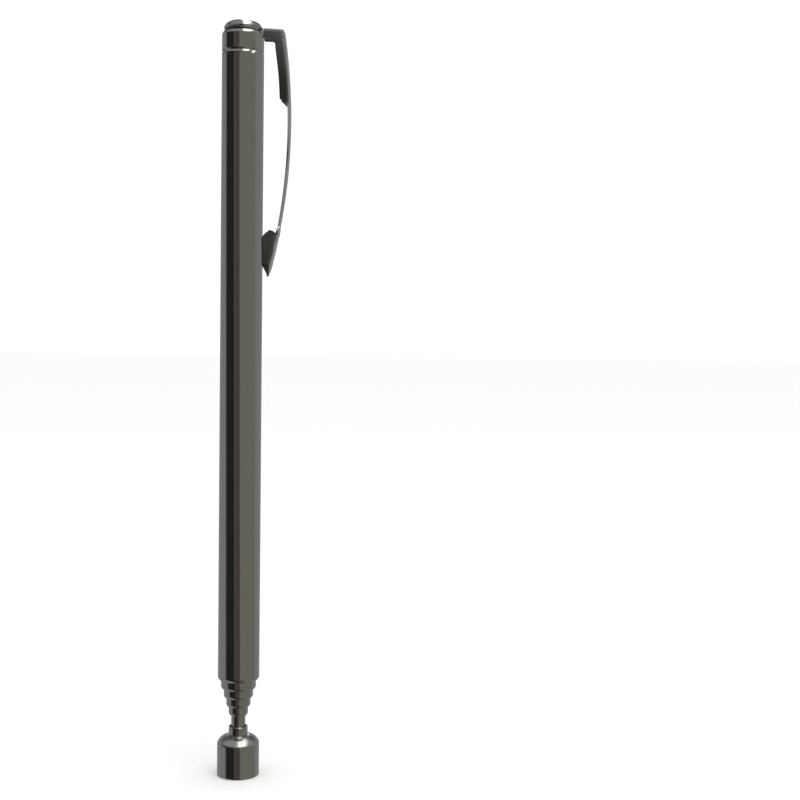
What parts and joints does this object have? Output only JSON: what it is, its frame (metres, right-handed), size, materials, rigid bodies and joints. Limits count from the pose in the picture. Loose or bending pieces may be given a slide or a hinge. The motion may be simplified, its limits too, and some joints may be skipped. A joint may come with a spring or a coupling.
{
  "type": "telescopic magnetic pickup tool",
  "caption": "Pocket telescopic magnetic pickup tool with a steel head, nested plated tubes, friction springs, a crimped barrel and a sprung pocket clip.",
  "frame": {"origin": "centre of the magnet's flat face, which the closed tool stands on", "axes": "+Z along the tool from the magnet to the cap, +X towards the pocket clip, +Y completes the right-handed frame"},
  "size_m": [0.0116, 0.0072, 0.127],
  "materials": {
    "barrel_plate": "dark polished nickel plate",
    "tube_plate": "dark polished nickel plate",
    "cap_plate": "polished nickel plate",
    "clip_steel": "dark plated spring steel",
    "head_steel": "dark polished nickel plate on turned steel",
    "brass": "turned",
    "bronze": "rolled phosphor bronze strip",
    "magnet": "nickel plated magnet, ground face"
  },
  "bodies": {
    "barrel": {"barrel": "barrel_plate", "end_plug": "brass", "end_cap": "cap_plate", "clip_ring": "clip_steel"},
    "clip": {"clip_blade": "clip_steel"},
    "slider_1": {"friction_spring_1": "bronze"},
    "tube_1": {"section_1": "tube_plate", "stop_bush_1": "brass"},
    "slider_2": {"friction_spring_2": "bronze"},
    "tube_2": {"section_2": "tube_plate", "stop_bush_2": "brass"},
    "slider_3": {"friction_spring_3": "bronze"},
    "tube_3": {"section_3": "tube_plate", "stop_bush_3": "brass"},
    "slider_4": {"friction_spring_4": "bronze"},
    "tube_4": {"section_4": "tube_plate", "stop_bush_4": "brass"},
    "slider_5": {"friction_spring_5": "bronze"},
    "tip": {"tip_rod": "tube_plate", "stop_bush_5": "brass", "magnet_cup": "head_steel", "magnet_sleeve": "brass", "magnet": "magnet"}
  },
  "joints": [
    {"name": "clip_flex", "type": "hinge", "parent": "barrel", "child": "clip", "pos_m": [0.0072, 0, 0.1239], "axis": [0, -1, 0], "range_deg": [0, 5], "stiffness_Nm_per_rad": 0.5},
    {"name": "slide_1", "type": "slide", "parent": "barrel", "child": "slider_1", "axis": [0, 0, -1], "range_m": [0, 0.0976]},
    {"name": "spin_1", "type": "hinge", "parent": "slider_1", "child": "tube_1", "pos_m": [0, 0, 0.1], "axis": [0, 0, 1], "continuous": true},
    {"name": "slide_2", "type": "slide", "parent": "tube_1", "child": "slider_2", "axis": [0, 0, -1], "range_m": [0, 0.0991]},
    {"name": "spin_2", "type": "hinge", "parent": "slider_2", "child": "tube_2", "pos_m": [0, 0, 0.1], "axis": [0, 0, 1], "continuous": true},
    {"name": "slide_3", "type": "slide", "parent": "tube_2", "child": "slider_3", "axis": [0, 0, -1], "range_m": [0, 0.1006]},
    {"name": "spin_3", "type": "hinge", "parent": "slider_3", "child": "tube_3", "pos_m": [0, 0, 0.1], "axis": [0, 0, 1], "continuous": true},
    {"name": "slide_4", "type": "slide", "parent": "tube_3", "child": "slider_4", "axis": [0, 0, -1], "range_m": [0, 0.1021]},
    {"name": "spin_4", "type": "hinge", "parent": "slider_4", "child": "tube_4", "pos_m": [0, 0, 0.1], "axis": [0, 0, 1], "continuous": true},
    {"name": "slide_5", "type": "slide", "parent": "tube_4", "child": "slider_5", "axis": [0, 0, -1], "range_m": [0, 0.1036]},
    {"name": "spin_5", "type": "hinge", "parent": "slider_5", "child": "tip", "pos_m": [0, 0, 0.1], "axis": [0, 0, 1], "continuous": true}
  ]
}
